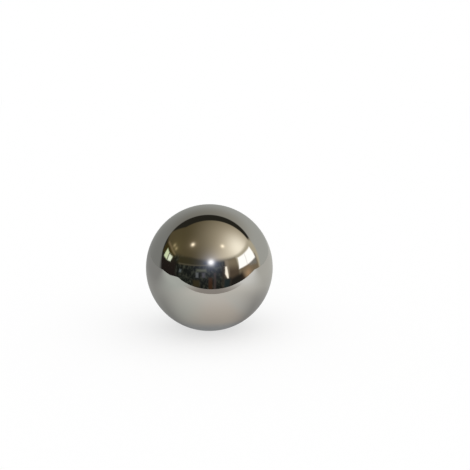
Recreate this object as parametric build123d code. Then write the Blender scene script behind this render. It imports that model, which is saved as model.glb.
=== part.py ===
from build123d import *
import os

# A mirror-polished decorative steel ball, in millimetres, +Z up.
# The origin is the centre of the ball, the one point that every direction
# on it is measured from. The ball is a true sphere all round: its two
# pressed halves are welded, ground flush and polished until no seam, flat,
# hole or foot is left, so it has no resting face of its own.
# The wall is about 1 mm of steel, closed on every side. Nothing opens the
# inside or shows it, so the ball is one closed solid out to its polished
# skin, and its weight is stated with it.

# driving dimension
ball_diameter = 120.0

ball_radius = ball_diameter / 2


def polished_ball(radius):
    """The outer skin as a half disc turned once about the upright axis."""
    with BuildPart() as turned:
        with BuildSketch(Plane.XZ):
            with BuildLine():
                outline = CenterArc((0, 0), radius, -90, 180)
                Line(outline @ 1, outline @ 0)
            make_face()
        revolve(axis=Axis.Z)
    return turned.part


ball = polished_ball(ball_radius)
ball.label = "ball"

os.makedirs("parts", exist_ok=True)
export_step(ball, "parts/ball.step")
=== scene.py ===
import math

import bpy
import numpy as np
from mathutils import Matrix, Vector


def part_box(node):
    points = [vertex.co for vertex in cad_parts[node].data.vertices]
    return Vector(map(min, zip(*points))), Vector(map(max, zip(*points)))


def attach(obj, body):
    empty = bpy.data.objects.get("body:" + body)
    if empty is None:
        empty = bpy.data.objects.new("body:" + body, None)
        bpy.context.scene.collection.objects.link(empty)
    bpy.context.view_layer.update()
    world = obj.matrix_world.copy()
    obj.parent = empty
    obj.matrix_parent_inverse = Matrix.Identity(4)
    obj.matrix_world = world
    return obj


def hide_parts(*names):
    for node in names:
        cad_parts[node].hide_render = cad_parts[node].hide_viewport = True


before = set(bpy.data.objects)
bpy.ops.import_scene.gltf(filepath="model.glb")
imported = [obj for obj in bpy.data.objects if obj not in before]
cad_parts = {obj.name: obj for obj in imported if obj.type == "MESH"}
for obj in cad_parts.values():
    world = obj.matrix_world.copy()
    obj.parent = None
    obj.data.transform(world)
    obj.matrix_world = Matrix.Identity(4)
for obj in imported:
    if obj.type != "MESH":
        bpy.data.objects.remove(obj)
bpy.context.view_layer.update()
ballLow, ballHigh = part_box("ball")
print("frame loaded")


def hexColour(code, strength=1.0):
    # sRGB hex to the linear values that the shaders take, times a strength
    parts = [int(code[i:i + 2], 16) / 255 for i in (1, 3, 5)]
    linear = [c / 12.92 if c <= 0.04045 else ((c + 0.055) / 1.055) ** 2.4 for c in parts]
    return [c * strength for c in linear] + [1.0]


def addNode(tree, kind, settings=None, inputs=None):
    # one node: its settings, then each input as a value or as another node's output
    node = tree.nodes.new(kind)
    for name, value in (settings or {}).items():
        setattr(node, name, value)
    for name, value in (inputs or {}).items():
        if isinstance(value, bpy.types.NodeSocket):
            tree.links.new(value, node.inputs[name])
        else:
            node.inputs[name].default_value = value
    return node


def emptyTree(owner):
    owner.use_nodes = True
    owner.node_tree.nodes.clear()
    return owner.node_tree


# camera, where the photograph was taken from
cameraSettings = {
    "focalPixels": 750.0,      # for a frame of 470 x 470
    "framePixels": 470.0,
    "distance": 0.7134,        # metres from the ball's centre
    "elevation": 14.0,         # degrees above the ball's centre
    "yaw": 2.003,              # degrees that the lens points to the right of the ball
    "pitch": 11.54,            # degrees that the lens points down
    "sensorWidth": 36.0,       # millimetres
    "nearest": 0.01,           # metres, the least and the most that it sees
    "farthest": 50.0,
}


def makeCamera(s):
    data = bpy.data.cameras.new("photoCamera")
    data.sensor_width = s["sensorWidth"]
    data.lens = s["focalPixels"] / s["framePixels"] * data.sensor_width
    data.clip_start, data.clip_end = s["nearest"], s["farthest"]
    camera = bpy.data.objects.new("photoCamera", data)
    lift, turn, dip = (math.radians(s[k]) for k in ("elevation", "yaw", "pitch"))
    camera.location = Vector((0.0, -math.cos(lift), math.sin(lift))) * s["distance"]
    camera.rotation_euler = (math.pi / 2 - dip, 0.0, -turn)
    bpy.context.scene.collection.objects.link(camera)
    bpy.context.scene.camera = camera


makeCamera(cameraSettings)
print("camera placed")


# the ball, as wide as the CAD ball's facets let it be
ballSettings = {
    "radius": min(ballHigh - ballLow) / 2,
    "facesAcross": 88,         # squares along each edge of the six patches
    "seamDecimals": 7,         # how closely the patches' edge points match, on a ball of radius 1
    "rippleHeight": 0.000010,  # metres: the pressed sheet isn't quite true under its polish
    "rippleCycles": (9.0, 14.0, 23.0),   # radians of ripple for each radius of travel
    "wavesPerCycle": 4,
    "rippleDraw": 7,           # any other number gives another ripple
}


def spherePatches(count, decimals):
    # Six square patches of a cube blown up to a sphere. On each patch the two
    # parameters a and b run from -45 to 45 degrees, and the point is the
    # direction (tan a, tan b, 1), turned to face its side of the cube.
    line = np.tan(np.linspace(-math.pi / 4, math.pi / 4, count + 1))
    u, v = np.meshgrid(line, line, indexing="ij")
    one = np.ones_like(u)
    sides = [(one, u, v), (-one, v, u), (v, one, u), (u, -one, v), (u, v, one), (v, u, -one)]
    points = np.concatenate([np.stack(side, -1).reshape(-1, 3) for side in sides])
    points /= np.linalg.norm(points, axis=1, keepdims=True)
    row = count + 1
    corner = (np.arange(count)[:, None] * row + np.arange(count)[None, :]).ravel()
    quad = np.stack([corner, corner + row, corner + row + 1, corner + 1], -1)
    quads = np.concatenate([quad + side * row * row for side in range(len(sides))])
    # patches share their edge points, so the seams are closed
    shared, index = np.unique(np.round(points, decimals), axis=0, return_inverse=True)
    return shared / np.linalg.norm(shared, axis=1, keepdims=True), index.reshape(-1)[quads]


def makeBall(s):
    directions, quads = spherePatches(s["facesAcross"], s["seamDecimals"])
    # radius = ball radius - one ripple height + a sum of plane waves through
    # the ball, so the surface never stands outside the CAD ball
    draw = np.random.default_rng(s["rippleDraw"])
    ripple = np.zeros(len(directions))
    for cycles in s["rippleCycles"]:
        for _ in range(s["wavesPerCycle"]):
            along = draw.normal(size=3)
            along /= np.linalg.norm(along)
            ripple += np.sin(directions @ along * cycles + draw.uniform(0, 2 * math.pi)) / cycles
    ripple /= np.abs(ripple).max()
    radius = s["radius"] - s["rippleHeight"] + s["rippleHeight"] * ripple
    mesh = bpy.data.meshes.new("polishedBall")
    mesh.from_pydata((directions * radius[:, None]).tolist(), [], quads.tolist())
    mesh.polygons.foreach_set("use_smooth", np.ones(len(mesh.polygons), dtype=bool))
    mesh.update()
    ball = bpy.data.objects.new("polishedBall", mesh)
    bpy.context.scene.collection.objects.link(ball)
    return ball


# Mirror-polished 304 stainless steel: pressed, ground, then buffed with a
# soft mop. The eye sees a slightly warm grey mirror that is sharp all over,
# with a trace of haze where the mop left finer and coarser lines.
steelSettings = {
    "colour": "#d3d0cb",       # stainless steel's own reflectance, warm grey
    "roughness": 0.018,
    "hazeRoughness": 0.075,
    "hazeSize": 0.030,         # metres across a patch of haze
    "hazeShare": (0.42, 0.75),           # noise values where haze begins and is full
    "mopLineWidth": 0.0009,    # metres: real buffing lines are near 0.002 mm, far too
                               # fine to show here, so they are drawn at 0.9 mm
    "mopLineHeight": 0.0000015,
    "mopStretch": (0.12, 0.12, 1.0),     # the lines are eight times as long as wide
    "mopTurn": (0.5, 0.35, 0.0),         # radians
}


def polishedSteel(s):
    material = bpy.data.materials.new("mirrorPolishedStainlessSteel")
    tree = emptyTree(material)
    place = addNode(tree, "ShaderNodeTexCoord").outputs["Object"]
    haze = addNode(tree, "ShaderNodeTexNoise", {"noise_dimensions": "3D"},
                   {"Vector": place, "Scale": 1 / s["hazeSize"], "Detail": 3.0, "Roughness": 0.55})
    rough = addNode(tree, "ShaderNodeMapRange", {"interpolation_type": "SMOOTHSTEP"},
                    {"Value": haze.outputs["Fac"], "From Min": s["hazeShare"][0],
                     "From Max": s["hazeShare"][1],
                     "To Min": s["roughness"], "To Max": s["hazeRoughness"]})
    turned = addNode(tree, "ShaderNodeMapping", None,
                     {"Vector": place, "Rotation": s["mopTurn"], "Scale": s["mopStretch"]})
    lines = addNode(tree, "ShaderNodeTexNoise", {"noise_dimensions": "3D"},
                    {"Vector": turned.outputs["Vector"], "Scale": 1 / s["mopLineWidth"],
                     "Detail": 2.0, "Roughness": 0.5})
    bump = addNode(tree, "ShaderNodeBump", None,
                   {"Height": lines.outputs["Fac"], "Distance": s["mopLineHeight"], "Strength": 1.0})
    shader = addNode(tree, "ShaderNodeBsdfPrincipled", None,
                     {"Base Color": hexColour(s["colour"]), "Metallic": 1.0,
                      "Roughness": rough.outputs["Result"], "Normal": bump.outputs["Normal"]})
    addNode(tree, "ShaderNodeOutputMaterial", None, {"Surface": shader.outputs["BSDF"]})
    return material


ball = makeBall(ballSettings)
ball.data.materials.append(polishedSteel(steelSettings))
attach(ball, "root")
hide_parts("ball")
print("ball made")


# floor: white for the camera, with the ball's soft shadow kept
floorSettings = {
    "halfWidth": 8.0,          # metres
    "height": ballLow.z - 0.0001,        # 0.1 mm under the table top
    "colour": "#a0a0a0",
    "cameraLift": 0.648,       # brings the lit floor up to white for the camera
}


def stagePlane(name, points, material):
    mesh = bpy.data.meshes.new(name)
    mesh.from_pydata(points, [], [tuple(range(len(points)))])
    mesh.materials.append(material)
    plane = bpy.data.objects.new(name, mesh)
    bpy.context.scene.collection.objects.link(plane)
    return plane


def mattPaper(name, colour, rayKind, lift):
    # Uncoated matt paper: the eye sees a plain tone with no shine. A plain glow
    # lifts it for one kind of ray.
    material = bpy.data.materials.new(name)
    tree = emptyTree(material)
    lit = addNode(tree, "ShaderNodeBsdfDiffuse", None, {"Color": colour(tree)})
    path = addNode(tree, "ShaderNodeLightPath")
    level = addNode(tree, "ShaderNodeMath", {"operation": "MULTIPLY"}, {0: path.outputs[rayKind], 1: lift})
    glow = addNode(tree, "ShaderNodeEmission", None,
                   {"Color": (1.0, 1.0, 1.0, 1.0), "Strength": level.outputs["Value"]})
    both = addNode(tree, "ShaderNodeAddShader", None, {0: lit.outputs["BSDF"], 1: glow.outputs["Emission"]})
    addNode(tree, "ShaderNodeOutputMaterial", None, {"Surface": both.outputs["Shader"]})
    return material


def makeFloor(s):
    w, z = s["halfWidth"], s["height"]
    paper = mattPaper("whiteFloorPaper", lambda tree: hexColour(s["colour"]),
                      "Is Camera Ray", s["cameraLift"])
    floor = stagePlane("whiteFloor", [(-w, -w, z), (w, -w, z), (w, w, z), (-w, w, z)], paper)
    floor.visible_glossy = floor.visible_shadow = False


makeFloor(floorSettings)
print("floor made")


# table top: what the ball mirrors below its middle
tableSettings = {
    "height": ballLow.z,
    # metres, along the front edge from left to right, with a rounded corner at the left
    "frontEdge": ((-1.60, -0.02), (-0.80, -0.178), (-0.60, -0.225), (-0.53, -0.305), (-0.42, -0.318),
                  (-0.22, -0.238), (0.0, -0.178), (0.28, -0.183), (0.80, -0.178), (1.60, -0.10)),
    "edgeSteps": 8,            # straight bits between two points of the edge
    "backEdge": 1.20,
    "lipWidth": 0.044,         # the front lip droops; its darker colour is painted shade, which fades to both sides
    "lipShadeColour": "#726a62",
    "colour": "#c0beb8",
    # painted light and shade: darker and greener to the left, brighter to the right, as if lit from the
    # right
    "leftShadeColour": "#a3aaa5",
    "rightLitColour": "#d3d5d4",
    "rearShadeLeft": "#616361",     # painted shade: to the rear it darkens and nears the backdrop
    "rearShadeRight": "#a6a6a0",
    "midColour": "#c3bdb7",    # by the ball
    "nearColour": "#bbb2a7",   # warmer close in front of it
    "nearLeftColour": "#b3b7b1",
    "nearRightColour": "#bcbcb8",
    # painted shadow under the ball, where it meets the table
    "underShadowColour": "#98a0a8",
    "besideShade": 0.32,       # darker on both sides of the ball than in front of it
    "lift": 0.180,             # the plain glow that a mirror sees with it
    # where each blend begins and is full, in metres from the ball's centre
    "midSpan": (0.075, 0.170),
    "nearSpan": (0.125, 0.070),
    "underSpan": (0.073, 0.064),
    # in metres across the table
    "nearLeftSpan": (0.005, -0.045),
    "nearRightSpan": (0.032, 0.056),
    "leftSpan": (-0.03, -0.16),
    "rightSpan": (0.08, 0.24),
    "acrossSpan": (-0.30, 0.30),
    "lipLeftSpan": (-0.03, -0.17),
    "lipRightSpan": (0.02, 0.22),
    # in metres along it
    "rearSpan": (-0.14, 0.05),
    # by the cosine of the angle from straight ahead of the ball
    "besideSpan": (1.00, 0.08),
}


def smoothLine(points, steps):
    # A cubic between each two points p1 and p2, with p0 before and p3 after:
    # (2 p1 + (p2 - p0) t + (2 p0 - 5 p1 + 4 p2 - p3) t^2 + (3 p1 - p0 - 3 p2 + p3) t^3) / 2
    p = np.array(points, dtype=float)
    p = np.concatenate([2 * p[:1] - p[1:2], p, 2 * p[-1:] - p[-2:-1]])
    p0, p1, p2, p3 = (p[i:len(p) - 3 + i, None, :] for i in range(4))
    t = np.linspace(0.0, 1.0, steps, endpoint=False)[None, :, None]
    runs = (2 * p1 + (p2 - p0) * t + (2 * p0 - 5 * p1 + 4 * p2 - p3) * t ** 2
            + (3 * p1 - p0 - 3 * p2 + p3) * t ** 3) / 2
    return np.concatenate([runs.reshape(-1, 2), np.array(points[-1:])])


def painted(tree, colour, layers):
    # colours laid over one another: each has its colour, a mask from 0 to 1 and a way of mixing
    for above, mask, kind in layers:
        colour = addNode(tree, "ShaderNodeMix", {"data_type": "RGBA", "blend_type": kind},
                         {0: mask, 6: colour, 7: above}).outputs[2]
    return colour


def tableColour(tree, s):
    # blends of plain colours, each by where a point of the table is: how far from
    # the ball, how far across, how far along and how far round from straight ahead.
    # Some are painted light and shade: a shadow under the ball, shade beside it, shade
    # to the left, to the rear and on the lip, and light to the right
    place = addNode(tree, "ShaderNodeTexCoord").outputs["Object"]
    across, along, _ = addNode(tree, "ShaderNodeSeparateXYZ", None, {0: place}).outputs
    reach = addNode(tree, "ShaderNodeVectorMath", {"operation": "LENGTH"}, {0: place}).outputs["Value"]
    flat = addNode(tree, "ShaderNodeVectorMath", {"operation": "MULTIPLY"}, {0: place, 1: (1.0, 1.0, 0.0)})
    ahead = addNode(tree, "ShaderNodeVectorMath", {"operation": "NORMALIZE"}, {0: flat.outputs[0]})
    ahead = addNode(tree, "ShaderNodeVectorMath", {"operation": "DOT_PRODUCT"},
                    {0: ahead.outputs[0], 1: (0.0, -1.0, 0.0)}).outputs["Value"]
    spans = {"mid": reach, "near": reach, "under": reach, "beside": ahead,
             "nearLeft": across, "nearRight": across, "left": across, "right": across,
             "across": across, "lipLeft": across, "lipRight": across, "rear": along}
    masks = {name: addNode(tree, "ShaderNodeMapRange", {"interpolation_type": "SMOOTHSTEP"},
                           {"Value": value, "From Min": s[name + "Span"][0],
                            "From Max": s[name + "Span"][1]}).outputs["Result"]
             for name, value in spans.items()}
    near = painted(tree, hexColour(s["midColour"]), [
        (hexColour(s["nearColour"]), masks["near"], "MIX"),
        (hexColour(s["nearLeftColour"]), masks["nearLeft"], "MIX"),
        (hexColour(s["nearRightColour"]), masks["nearRight"], "MIX"),
        # painted shadow under the ball, then painted shade on both sides of it
        (hexColour(s["underShadowColour"]), masks["under"], "MIX"),
        (hexColour("#ffffff", s["besideShade"]), masks["beside"], "MULTIPLY"),
    ])
    # painted shade towards the rear, darker at the left than at the right
    rear = painted(tree, hexColour(s["rearShadeLeft"]), [(hexColour(s["rearShadeRight"]), masks["across"], "MIX")])
    # painted shade to the left, painted light to the right, then the painted rear shade
    far = painted(tree, hexColour(s["colour"]), [
        (hexColour(s["leftShadeColour"]), masks["left"], "MIX"),
        (hexColour(s["rightLitColour"]), masks["right"], "MIX"),
        (rear, masks["rear"], "MIX"),
    ])
    top = painted(tree, near, [(far, masks["mid"], "MIX")])
    # the lip: painted shade, fading to the table's colour towards both sides
    lip = painted(tree, hexColour(s["lipShadeColour"]), [
        (top, masks["lipLeft"], "MIX"),
        (top, masks["lipRight"], "MIX"),
    ])
    return top, lip


def makeTableTop(s):
    edge = smoothLine(s["frontEdge"], s["edgeSteps"])
    inner = edge + (0.0, s["lipWidth"])
    (leftEnd, _), (rightEnd, _) = inner[0], inner[-1]
    outlines = {
        "tableTop": [*inner, (rightEnd, s["backEdge"]), (leftEnd, s["backEdge"])],
        "tableLip": [*edge, *inner[::-1]],
    }
    for index, (name, outline) in enumerate(outlines.items()):
        paper = mattPaper(name + "Paper", lambda tree: tableColour(tree, s)[index],
                          "Is Glossy Ray", s["lift"])
        piece = stagePlane(name, [(float(x), float(y), s["height"]) for x, y in outline], paper)
        piece.visible_camera = piece.visible_diffuse = piece.visible_shadow = False


makeTableTop(tableSettings)
print("table top made")


# Surroundings: a mirror needs light and dark to show, so cards and lamps stand
# round the ball as in a studio. Directions from the ball are (azimuth,
# elevation) in degrees. Azimuth 0 is the camera's side and grows to its right.
surroundSettings = {
    "plainLevel": 0.60,        # even light for everything that isn't mirrored
    "band": "#1c1f1c",         # the dark band across the front
    "bandMottle": "#464a40",
    "mottleWidth": 5.0,        # degrees
    "mottleHeight": 8.0,
    "mottleShare": (0.40, 0.80),         # noise values where the mottle begins and is full
    "overhead": "#5c533b",     # the warm canopy over it, bright towards one side
    "overheadGlows": (
        # colour, azimuth, elevation, power of the cosine of the angle from there
        ("#bdb3a0", 68, 37, 2.2),
        ("#dbdbd4", 68, 36, 14.0),
        ("#878279", 28, 25, 16.0),
    ),
    "overheadEdge": 25.5,      # elevation of its front edge
    "overheadSoftness": 11.0,
    # its left wing, which hides the gap's left end
    "overheadWing": ((-121, 35), (-114.5, 57), (-100, 52), (-98.5, 30), (-108, 29)),
    "wingSoftness": 6.0,
    "gap": "#2b2a24",          # the dark gap between the canopy and the backdrop
    "gapTop": 73.8,            # elevation of its level top edge, straight behind the ball
    "gapTurn": -2.0,           # degrees that the edge is turned to the right
    "backdropLeft": "#8b8d8b",
    "backdropRight": "#b8bab6",
    "backdropUpper": "#e2ddd5",          # what its colour is multiplied by along its top edge
    "backdropTop": 57.5,
    "backdropTurn": 4.0,
    # where its blends to the right and upwards begin and are full, by how far a ray
    # of length 1 goes that way
    "rightwards": (-0.95, 0.95),
    "upwards": (0.35, 0.87),
    "edgeSoftness": 2.6,
}
studioCards = (
    # colour, strength, softness in degrees, corners
    # to the left: black card, the canopy's pale rim, its dark foot, olive card
    ("#25201e", 1.0, 10.0, ((-96.5, -9), (-101.5, 23), (-64.5, 15), (-60.5, -9))),
    ("#7e6f54", 1.0, 3.2, ((-105, 23.5), (-105, 31.5), (-97, 31.8), (-88, 30.5), (-80, 28.3),
                           (-71, 25.4), (-71, 23.5))),
    ("#3d3519", 1.0, 3.2, ((-104, 17), (-107, 29.2), (-98, 28.9), (-91, 28.2), (-83, 26.2),
                           (-73, 23), (-73, 17))),
    ("#3e3a27", 1.0, 6.0, ((-62, 14.5), (-60, 24), (-38.5, 28), (-11.5, 25), (-10.5, 18))),
    # in the dark band: a rail, four small pale cards, three brown cards
    ("#5d5846", 1.0, 2.6, ((-58.5, 13.5), (-58.5, 15.5), (-2.5, 18.5), (-2.5, 16.5))),
    ("#636759", 1.0, 4.5, ((-23, 6), (-23, 10), (-5.5, 10.5), (-5.5, 6))),
    ("#696e71", 1.0, 3.4, ((-24, -4.5), (-24, 4), (-19.5, 4), (-19.5, -4.5))),
    ("#595960", 1.0, 4.0, ((-13, -4), (-13, 4), (-8, 4), (-8, -4))),
    ("#6b7476", 1.0, 3.4, ((-55.5, 1.5), (-54.5, 6), (-51, 5.5), (-52, 1.5))),
    ("#3d3726", 1.0, 5.0, ((-29.5, -21), (-29.5, -9), (-17.5, -9), (-17.5, -21))),
    ("#45301f", 1.0, 4.0, ((-2, -27), (-2, -4), (5, -4), (5, -27))),
    ("#4c4341", 1.0, 4.0, ((7.5, -27), (7.5, 4), (11, 4), (11, -27))),
    # to the right: cream card behind the soft box, wide brown card, the shade at
    # its foot, narrow tan card, teal card, warm card, black card, grey card
    ("#c9c1ab", 1.0, 6.0, ((51.5, -5), (51.5, 26), (71.5, 30), (97.5, 34), (107.5, 32), (101.5, -5))),
    ("#90846e", 1.0, 6.0, ((30, -17), (30, 23), (51.5, 25), (53, -13))),
    ("#5b4f41", 1.0, 17.0, ((26, -45), (26, 12), (58, 9), (58, -45))),
    ("#998d7a", 1.0, 5.0, ((29, -3), (29, 24), (35, 24), (35, -3))),
    ("#263132", 1.0, 6.0, ((25.5, -30), (25.5, -7), (37.5, -7), (37.5, -30))),
    ("#857863", 1.0, 6.0, ((56.5, -14), (55.5, 10), (97, 15), (101, -14))),
    ("#282622", 1.0, 8.0, ((35, -30), (37.5, -8), (47, -4.5), (59.5, -0.5), (70, -13), (68, -30))),
    ("#8a8882", 1.0, 5.0, ((77, 6), (75, 11), (96, 15), (95, 4))),
    # soft boxes: the large one and its middle bar, a narrow one, two small ones to the left
    ("#ffffff", 1.60, 2.8, ((54.3, 5.4), (94.5, 11.7), (92.8, 27.3), (56.2, 22.9))),
    ("#eef2f2", 1.34, 2.6, ((71.5, 9), (73.5, 9), (74.2, 24), (72.2, 24))),
    ("#fff9ec", 1.45, 2.4, ((27.4, 1), (28.3, 13), (31.3, 13), (33.6, -6.5), (31.3, -6.5))),
    ("#dfeec6", 1.18, 2.4, ((-96, 14.3), (-86.2, 12.3), (-86.6, 22), (-95.4, 24.8))),
    ("#ecf6e0", 1.28, 2.4, ((-84.3, 12.2), (-77, 12.6), (-75.4, 19.6), (-84.3, 21.2))),
)
studioLamps = (
    # colour, strength, azimuth, elevation, radius in degrees, sharpness
    ("#ffffff", 1.42, 3.0, 22.4, 4.9, 2.0),      # front lamp
    ("#ccd8fb", 0.39, -0.8, 22.4, 7.5, 1.0),     # its bloom, wider than it is high
    ("#ccd8fb", 0.43, 7.2, 22.8, 8.0, 1.0),
    ("#fff3dc", 1.50, -44.5, 49.8, 2.8, 1.8),    # left overhead lamp
    ("#ffe7c2", 0.24, -44.5, 49.8, 5.0, 1.0),
    ("#fff3dc", 1.00, 34.0, 48.5, 2.7, 1.8),     # right overhead lamp
    ("#ffe9c8", 0.12, 34.0, 48.5, 5.0, 1.0),
    ("#f0dcae", 0.42, -85.1, 34.4, 2.4, 1.6),    # two small lamps, far left
    ("#f0dcae", 0.42, -76.6, 32.6, 2.3, 1.6),
    ("#a8a060", 0.10, -80.0, 31.0, 13.0, 1.6),   # and the glow round them
    ("#ffc896", 0.27, 72.5, -4.0, 7.0, 1.6),     # warm glow, low right
)


def heading(azimuth, elevation):
    # the direction of length 1 towards an azimuth and an elevation in degrees
    a, e = math.radians(azimuth), math.radians(elevation)
    return (math.sin(a) * math.cos(e), -math.cos(a) * math.cos(e), math.sin(e))


def chartOf(tree, direction):
    # a ray as (azimuth, elevation, 1) in degrees
    parts = addNode(tree, "ShaderNodeSeparateXYZ", None, {0: direction}).outputs
    depth = addNode(tree, "ShaderNodeMath", {"operation": "MULTIPLY"}, {0: parts["Y"], 1: -1.0})
    across = addNode(tree, "ShaderNodeMath", {"operation": "ARCTAN2"}, {0: parts["X"], 1: depth.outputs[0]})
    up = addNode(tree, "ShaderNodeMath", {"operation": "ARCSINE"}, {0: parts["Z"]})
    both = addNode(tree, "ShaderNodeCombineXYZ", None,
                   {0: across.outputs[0], 1: up.outputs[0], 2: math.radians(1.0)})
    return addNode(tree, "ShaderNodeVectorMath", {"operation": "SCALE"},
                   {0: both.outputs[0], "Scale": math.degrees(1.0)}).outputs[0]


def outlineMask(tree, chart, corners, softness):
    # 1 inside a convex outline on the chart: each side is a line there, the dot
    # product with it is the distance to it, and the least is the distance to the outline
    points = np.array([(a, e, 1.0) for a, e in corners])
    centre = points.mean(axis=0)
    least = 1000.0   # farther than any side
    for line in np.cross(points, np.roll(points, -1, axis=0)):
        line = line * np.sign(line @ centre) / np.hypot(line[0], line[1])
        side = addNode(tree, "ShaderNodeVectorMath", {"operation": "DOT_PRODUCT"},
                       {0: chart, 1: line.tolist()})
        least = addNode(tree, "ShaderNodeMath", {"operation": "MINIMUM"},
                        {0: side.outputs["Value"], 1: least}).outputs[0]
    return addNode(tree, "ShaderNodeMapRange", {"interpolation_type": "SMOOTHSTEP"},
                   {"Value": least, "From Min": -softness / 2, "From Max": softness / 2}).outputs["Result"]


def aroundHeading(tree, direction, azimuth, elevation, steps):
    # the cosine of the angle between a ray and one heading, taken through some steps
    value = addNode(tree, "ShaderNodeVectorMath", {"operation": "DOT_PRODUCT"},
                    {0: direction, 1: heading(azimuth, elevation)}).outputs["Value"]
    for operation, number in steps:
        value = addNode(tree, "ShaderNodeMath", {"operation": operation}, {0: value, 1: number}).outputs[0]
    return value


def belowEdge(tree, direction, top, turn, softness):
    # 1 below a level straight edge that stands behind the ball, whose middle is at
    # elevation top: its points and the ball's centre are in one plane, so the mask
    # is the sine of the angle from that plane
    sine = aroundHeading(tree, direction, 180.0 - turn, top - 90.0, ())
    half = math.sin(math.radians(softness / 2))
    return addNode(tree, "ShaderNodeMapRange", {"interpolation_type": "SMOOTHSTEP"},
                   {"Value": sine, "From Min": -half, "From Max": half}).outputs["Result"]


def lampMask(tree, direction, azimuth, elevation, radius, sharpness):
    # exp(-(angle / radius) ^ sharpness): sharpness 1 is a pointed glow and 2 a round spot
    return aroundHeading(tree, direction, azimuth, elevation, (
        ("ARCCOSINE", 0.0), ("DIVIDE", math.radians(radius)), ("POWER", sharpness),
        ("MULTIPLY", -1.0), ("EXPONENT", 0.0)))


def makeSurroundings(s, cards, lamps):
    world = bpy.data.worlds.new("studioSurroundings")
    bpy.context.scene.world = world
    tree = emptyTree(world)
    direction = addNode(tree, "ShaderNodeTexCoord").outputs["Generated"]
    chart = chartOf(tree, direction)

    # faint upright mottling along the dark band
    stretched = addNode(tree, "ShaderNodeVectorMath", {"operation": "MULTIPLY"},
                        {0: chart, 1: (1 / s["mottleWidth"], 1 / s["mottleHeight"], 1.0)})
    mottle = addNode(tree, "ShaderNodeTexNoise", {"noise_dimensions": "2D"},
                     {"Vector": stretched.outputs[0], "Scale": 1.0, "Detail": 2.0, "Roughness": 0.6})
    mottle = addNode(tree, "ShaderNodeMapRange", {"interpolation_type": "SMOOTHSTEP"},
                     {"Value": mottle.outputs[0], "From Min": s["mottleShare"][0],
                      "From Max": s["mottleShare"][1]}).outputs["Result"]

    # the canopy: each glow is a power of the cosine of the angle from its heading
    overhead = painted(tree, hexColour(s["overhead"]), [
        (hexColour(code), aroundHeading(tree, direction, azimuth, elevation,
                                        (("MAXIMUM", 0.0), ("POWER", power))), "ADD")
        for code, azimuth, elevation, power in s["overheadGlows"]
    ])
    edge, side, top = s["overheadEdge"], 200, 110   # the side and top are past the chart's own
    overheadMask = outlineMask(tree, chart, ((-side, edge), (side, edge), (side, top), (-side, top)),
                               s["overheadSoftness"])

    # the backdrop behind the ball: brighter to the right, darker to the top
    right, _, up = addNode(tree, "ShaderNodeSeparateXYZ", None, {0: direction}).outputs
    rightness, topness = (addNode(tree, "ShaderNodeMapRange", {"interpolation_type": "SMOOTHSTEP"},
                                  {"Value": value, "From Min": low, "From Max": high}).outputs["Result"]
                          for value, (low, high) in ((right, s["rightwards"]), (up, s["upwards"])))
    backdrop = painted(tree, hexColour(s["backdropLeft"]), [
        (hexColour(s["backdropRight"]), rightness, "MIX"),
        (hexColour(s["backdropUpper"]), topness, "MULTIPLY"),
    ])

    softness = s["edgeSoftness"]
    mirrored = painted(tree, hexColour(s["band"]), [
        (hexColour(s["bandMottle"]), mottle, "MIX"),
        (overhead, overheadMask, "MIX"),
        (hexColour(s["gap"]), belowEdge(tree, direction, s["gapTop"], s["gapTurn"], softness), "MIX"),
        (overhead, outlineMask(tree, chart, s["overheadWing"], s["wingSoftness"]), "MIX"),
        (backdrop, belowEdge(tree, direction, s["backdropTop"], s["backdropTurn"], softness), "MIX"),
        *((hexColour(code, strength), outlineMask(tree, chart, corners, blur), "MIX")
          for code, strength, blur, corners in cards),
        *((hexColour(code, strength), lampMask(tree, direction, *place), "ADD")
          for code, strength, *place in lamps),
    ])

    # the camera sees plain white, a mirror sees the studio, all else is lit evenly
    path = addNode(tree, "ShaderNodeLightPath").outputs
    seen = painted(tree, hexColour("#ffffff", s["plainLevel"]), [
        (mirrored, path["Is Glossy Ray"], "MIX"),
        (hexColour("#ffffff"), path["Is Camera Ray"], "MIX"),
    ])
    background = addNode(tree, "ShaderNodeBackground", None, {"Color": seen, "Strength": 1.0})
    addNode(tree, "ShaderNodeOutputWorld", None, {"Surface": background.outputs["Background"]})


makeSurroundings(surroundSettings, studioCards, studioLamps)
print("surroundings made")


# one broad soft light, as even far off as it is by the ball
lampSettings = {
    "azimuth": 30.0, "elevation": 74.0,   # where it comes from, in degrees
    "spread": 95.0,                       # degrees across, for a soft shadow
    "level": 0.40,                        # what it adds to a white floor
}


def makeLamp(s):
    data = bpy.data.lights.new("broadSoftLight", "SUN")
    data.angle = math.radians(s["spread"])
    data.energy = s["level"] * math.pi / math.sin(math.radians(s["elevation"]))
    lamp = bpy.data.objects.new("broadSoftLight", data)
    towards = Vector(heading(s["azimuth"], s["elevation"]))
    lamp.location = towards
    lamp.rotation_euler = (-towards).to_track_quat("-Z", "Y").to_euler()
    lamp.visible_glossy = False
    bpy.context.scene.collection.objects.link(lamp)


makeLamp(lampSettings)
print("light made")

bpy.context.scene.view_settings.view_transform = "Standard"
